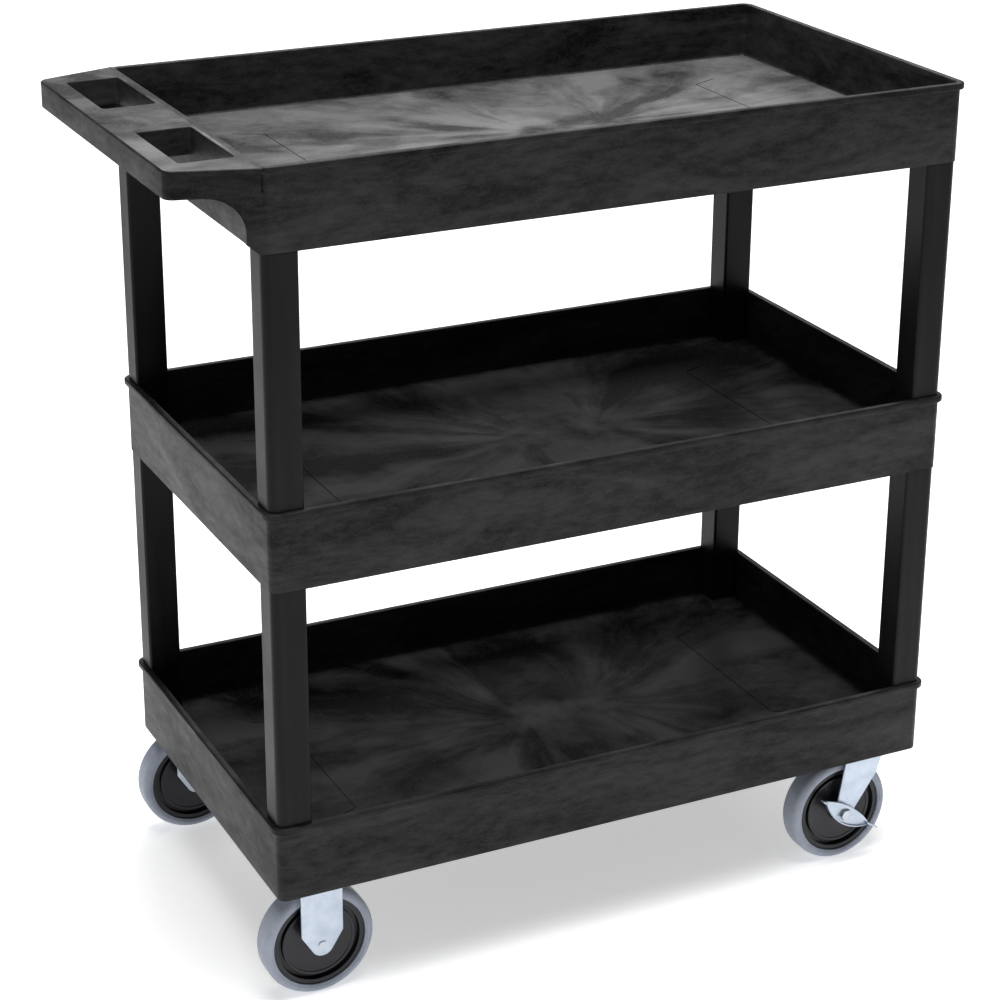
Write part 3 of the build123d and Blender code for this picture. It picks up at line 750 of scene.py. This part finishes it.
def model_handle():
    """Handle: a top plate, a skirt below its edge, walls round both hand holes, and two corner webs."""
    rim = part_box("top_tray")[1].z
    low, under = rim - HANDLE_SKIRT, rim - HANDLE_TOP
    side = tub_side - WEB_INSET
    handle = handle_skirt(side, low, under)
    combine(handle, handle_plate(under, rim), "UNION")
    hole_x = tub_back - HOLE_FRONT - HOLE_SIZE[0] / 2
    for hand in (-1, 1):
        centre = Vector((hole_x, hand * (HOLE_GAP + HOLE_SIZE[1]) / 2, 0))
        add_hand_hole(handle, centre, low, under, rim)
    open_edit(handle)
    pick("EDGE", lambda edge: sharp(edge, 1.2)
         and all(at_hole_mouth(v.co, hole_x, rim) for v in edge.verts))
    bevel(HOLE_MOUTH_ROUND, 3)
    for hand in (-1, 1):
        combine(handle, corner_web(hand, side), "UNION")
    return handle


def corner_web(hand, side):
    """Thin web that follows the handle's taper, hollowed to a quarter arc above a short foot.

    It runs on into the tub's rounded corner, so that no light shows between them.
    """
    low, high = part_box("top_tray")
    base, rim = low.z, high.z
    taper = (side - HANDLE_END_SIDE) / (tub_back - low.x)
    start = tub_back - WEB_FOOT - WEB_ARC
    face = side - OVERLAP / 4
    inner, outer = sorted((hand * (face - WEB_THICKNESS), hand * face))
    web = start_block(
        "corner_web", (start, inner, base), (tub_back, outer, rim - HANDLE_SKIRT + HANDLE_WALL)
    )
    pick("VERT", lambda point: close(point.co.x, start))
    bpy.ops.transform.translate(value=(0, -hand * taper * (tub_back - start), 0))
    pick("VERT", lambda point: close(point.co.x, tub_back))
    push(x=WEB_ROOT)
    bpy.ops.mesh.select_all(action="SELECT")
    foot_slope = Vector((WEB_FOOT, 0, -WEB_LIFT))
    bpy.ops.mesh.bisect(
        plane_co=(tub_back, 0, base), plane_no=foot_slope.cross((0, 1, 0)), use_fill=True,
        clear_inner=True,
    )
    arc_top = rim - HANDLE_SKIRT
    arc_centre = (start, hand * side, arc_top - WEB_ARC)
    arc_tool = start_disc("arc_tool", arc_centre, WEB_ARC, 4 * WEB_ARC, vertices=128)
    combine(web, arc_tool, "DIFFERENCE")
    below = start_block(
        "below_arc", (start - WEB_ARC, -2 * WEB_ARC + hand * side, base - WEB_ARC),
        (start + WEB_ARC, 2 * WEB_ARC + hand * side, arc_centre[2]),
    )
    combine(web, below, "DIFFERENCE")
    return web


# ---- caster pads below the bottom tray ----
CASTER_PLATES = (
    "handle_right_fork", "handle_left_fork", "front_right_caster_plate", "front_left_caster_plate"
)
PAD_MARGIN = 0.003
PAD_CORNER = 0.006
PAD_ROUND = 0.0006
PLATE_EDGE = 0.010         # bolt centres to the ends of the plate
BOLT_SPACING = 0.026
INSERT_RADIUS = 0.0055
INSERT_DEPTH = 0.0095
RECESS_RADIUS = 0.0115
RECESS_DEPTH = 0.005


def add_caster_pads(tub):
    """Four pads that the casters bolt to, with holes for the inserts and the kingpin heads."""
    pad_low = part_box("handle_right_fork")[1].z
    pad_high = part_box("bottom_tray")[0].z + FLOOR_TOP - FLOOR_THICKNESS / 2
    for name in CASTER_PLATES:
        low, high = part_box(name)
        pad = start_block(
            "caster_pad", (low.x - PAD_MARGIN, low.y - PAD_MARGIN, pad_low),
            (high.x + PAD_MARGIN, high.y + PAD_MARGIN, pad_high),
        )
        pick("EDGE", upright)
        bevel(PAD_CORNER, 5)
        pick("EDGE", lambda edge: all(close(v.co.z, pad_low) for v in edge.verts))
        bevel(PAD_ROUND, 2)
        combine(tub, pad, "UNION")
    cutters = []
    for name in CASTER_PLATES:
        low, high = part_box(name)
        centre = (low + high) / 2
        for end in (-1, 1):
            for side in (-1, 1):
                x = centre.x + end * ((high.x - low.x) / 2 - PLATE_EDGE)
                y = centre.y + side * BOLT_SPACING / 2
                cutters.append(hole_cutter((x, y, pad_low), INSERT_RADIUS, INSERT_DEPTH))
        if name.startswith("front"):
            cutters.append(hole_cutter((centre.x, centre.y, pad_low), RECESS_RADIUS, RECESS_DEPTH))
    combine(tub, join(cutters, "pad_holes"), "DIFFERENCE")


def hole_cutter(mouth, radius, depth):
    """Upright round cutter that starts just below a face."""
    centre = (mouth[0], mouth[1], mouth[2] + (depth - OVERLAP) / 2)
    return start_disc("hole_cutter", centre, radius, depth + OVERLAP, along="Z", vertices=32)


SHOWS_FLOW = 0.002         # depth of the floor's surface that shows the flow, seams and all


def model_trays():
    """The three tubs, with pads under the lowest and the handle on the highest."""
    for name in ("bottom_tray", "middle_tray", "top_tray"):
        tub = model_tub(name)
        if name == "bottom_tray":
            add_caster_pads(tub)
        if name == "top_tray":
            combine(tub, model_handle(), "UNION")
        finish_piece(tub, "chassis", "tray_plastic", [name], angle=30)
        # the top floor takes the painted-light tone, the lower floors the painted-shade tone
        floor = "top_floor_painted_light" if name == "top_tray" else "lower_floor_painted_shade"
        finish_floor(tub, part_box(name)[0].z + FLOOR_TOP, materials[floor])


def finish_floor(tub, floor_top, material):
    """The floor and the top of the handle show the flow of the foam, and take a floor tone that holds
    painted light: lighter than the walls' on these upward faces, and darker on the lower trays' floors for
    painted shade.
    """
    tub.data.materials.append(material)
    open_edit(tub)
    pick("FACE", lambda face: face.normal.z > 0.9
         and (close(middle(face).z, floor_top, SHOWS_FLOW) or middle(face).x < tub_back - LIP_OUT))
    tub.active_material_index = 1
    bpy.ops.object.material_slot_assign()
    deselect_everything()


# ---- casters ----
TYRE_THICKNESS = 0.0105
TREAD_ROUND = 0.007
BEAD_WIDTH = 0.0022
BEAD_STEP = 0.0005         # bead, in from the side of the tyre
BEAD_ROUND = 0.0004
CORE_RIM = 0.006           # radial width of the core's rim
CORE_GROOVE = 0.005        # radial width of the groove inside the rim
RIM_RECESS = 0.0025        # rim, groove and disc, in from the sides of the tyre
GROOVE_RECESS = 0.0095
DISC_RECESS = 0.004
DISC_STEP = 0.0008         # low ring on the disc
DISC_RING = 0.0035
HUB_RADIUS = 0.014
HUB_HALF = 0.0179
BORE_RADIUS = 0.00605
CORE_ROUND = 0.0007
FORK_ROUND = 0.0005
LEVER_ROUND = 0.0004
LEG_HEIGHT = 0.062         # of a fork leg above the axle
AXLE_ZONE = 0.0058         # round the axle, where edges stay as cut
CASTERS = ("handle_right", "handle_left", "front_right", "front_left")


def cap_face(side):
    """Picks the flat end of a disc that faces one way along Y."""
    pick("FACE", lambda face: face.normal.y * side > 0.99 and len(face.verts) > 4)


def open_bore(centre, radius):
    """Joins the two end faces inside a radius, which opens the hole between them."""
    pick("FACE", lambda face: abs(face.normal.y) > 0.99
         and all(distance_from(v.co, centre) < radius + NEAR for v in face.verts))
    bpy.ops.mesh.bridge_edge_loops()


def distance_from(point, centre):
    """How far a point is from the axle line through a centre."""
    return math.hypot(point.x - centre.x, point.z - centre.z)


def model_tyre(centre, radius, width):
    """Rubber ring: flat sides, a well rounded tread and a low bead beside the core."""
    tyre = start_disc("tyre", centre, radius, width, vertices=128)
    for side in (-1, 1):
        cap_face(side)
        inset(TYRE_THICKNESS - BEAD_WIDTH)
        push(y=-side * BEAD_STEP)
        inset(BEAD_WIDTH)
    open_bore(centre, radius - TYRE_THICKNESS)
    pick("EDGE", lambda edge: all(
        close(distance_from(v.co, centre), radius, NEAR) for v in edge.verts)
        and close(edge.verts[0].co.y, edge.verts[1].co.y))
    bevel(TREAD_ROUND, 8)
    pick("EDGE", lambda edge: sharp(edge) and distance_from(middle(edge), centre) < radius - 0.003)
    bevel(BEAD_ROUND, 2)
    return tyre


def model_core(centre, radius, width):
    """Moulded core: rim, deep groove, disc with a low ring, hub and bore, the same on both sides."""
    rim_half = width / 2 - RIM_RECESS
    core = start_disc("wheel_core", centre, radius, 2 * rim_half, vertices=128)
    disc_radius = radius - CORE_RIM - CORE_GROOVE
    disc_half = width / 2 - DISC_RECESS
    for side in (-1, 1):
        cap_face(side)
        inset(CORE_RIM)
        push(y=-side * (GROOVE_RECESS - RIM_RECESS))
        inset(CORE_GROOVE)
        push(y=side * (GROOVE_RECESS - DISC_RECESS))
        inset(DISC_RING)
        push(y=-side * DISC_STEP)
        inset(disc_radius - DISC_RING - HUB_RADIUS)
        push(y=side * (HUB_HALF - disc_half + DISC_STEP))
        inset(HUB_RADIUS - BORE_RADIUS)
    open_bore(centre, BORE_RADIUS)
    pick("EDGE", lambda edge: sharp(edge) and distance_from(middle(edge), centre) > BORE_RADIUS * 1.5)
    bevel(CORE_ROUND, 3)
    return core


def copy_by(piece, step):
    """A copy with its own mesh, moved by a step in its mesh."""
    twin = piece.copy()
    twin.data = piece.data.copy()
    bpy.context.scene.collection.objects.link(twin)
    open_edit(twin)
    bpy.ops.mesh.select_all(action="SELECT")
    bpy.ops.transform.translate(value=step)
    deselect_everything()
    return twin


def wheel_centre(caster):
    """Middle of a caster's wheel, on its axle."""
    low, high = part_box(f"{caster}_tyre")
    return (low + high) / 2


def finish_wheel_part(piece, caster, kind, slot):
    """Name, material and turning body of a tyre or a core."""
    piece.name = piece.data.name = f"{caster}_{kind}_moulding"
    finish_piece(piece, f"{caster}_wheel", slot, [f"{caster}_{kind}"])


def model_wheels():
    """One tyre and one core, copied to the other casters before they are finished."""
    first = wheel_centre(CASTERS[0])
    low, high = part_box(f"{CASTERS[0]}_tyre")
    radius, width = (high.z - low.z) / 2, high.y - low.y
    parts = (
        (model_tyre(first, radius, width), "tyre", "tyre_rubber"),
        (model_core(first, radius - TYRE_THICKNESS, width), "wheel_core", "core_plastic"),
    )
    for caster in CASTERS[1:]:
        for piece, kind, slot in parts:
            finish_wheel_part(copy_by(piece, wheel_centre(caster) - first), caster, kind, slot)
    for piece, kind, slot in parts:
        finish_wheel_part(piece, CASTERS[0], kind, slot)


def eased_copy(node, name, width, centre):
    """A merged copy of a sheet-metal node, with its cut edges rounded over outside its holes."""
    source = frame["nodes"][node]
    piece = source.copy()
    piece.data = source.data.copy()
    piece.parent = None
    bpy.context.scene.collection.objects.link(piece)
    piece.name = piece.data.name = name
    open_edit(piece)
    bpy.ops.mesh.select_all(action="SELECT")
    bpy.ops.mesh.remove_doubles(threshold=1e-6)
    pick("EDGE", lambda edge: sharp(edge) and middle(edge).z < centre.z + LEG_HEIGHT
         and distance_from(middle(edge), centre) > AXLE_ZONE)
    bevel(width, 2)
    deselect_everything()
    return piece


def model_forks():
    """Every fork, and the brake levers of the front ones."""
    for caster in CASTERS:
        centre = wheel_centre(caster)
        body = "chassis" if caster.startswith("handle") else f"{caster}_swivel"
        fork = eased_copy(f"{caster}_fork", f"{caster}_fork_pressing", FORK_ROUND, centre)
        finish_piece(fork, body, "zinc_sheet", [f"{caster}_fork"])
        if caster.startswith("front"):
            lever = eased_copy(
                f"{caster}_brake_lever", f"{caster}_brake_lever_pressing", LEVER_ROUND, centre
            )
            finish_piece(lever, f"{caster}_brake", "zinc_sheet", [f"{caster}_brake_lever"])


def finish_cad_nodes():
    """Each carried-over CAD node takes the material of its slot in the record."""
    for subpart in frame["record"]["subparts"]:
        node = frame["nodes"][subpart["node"]]
        node.data.materials.clear()
        node.data.materials.append(materials[subpart["material_slot"]])


materials = make_materials()
finish_cad_nodes()
model_trays()
model_wheels()
model_forks()
set_studio()
set_camera()
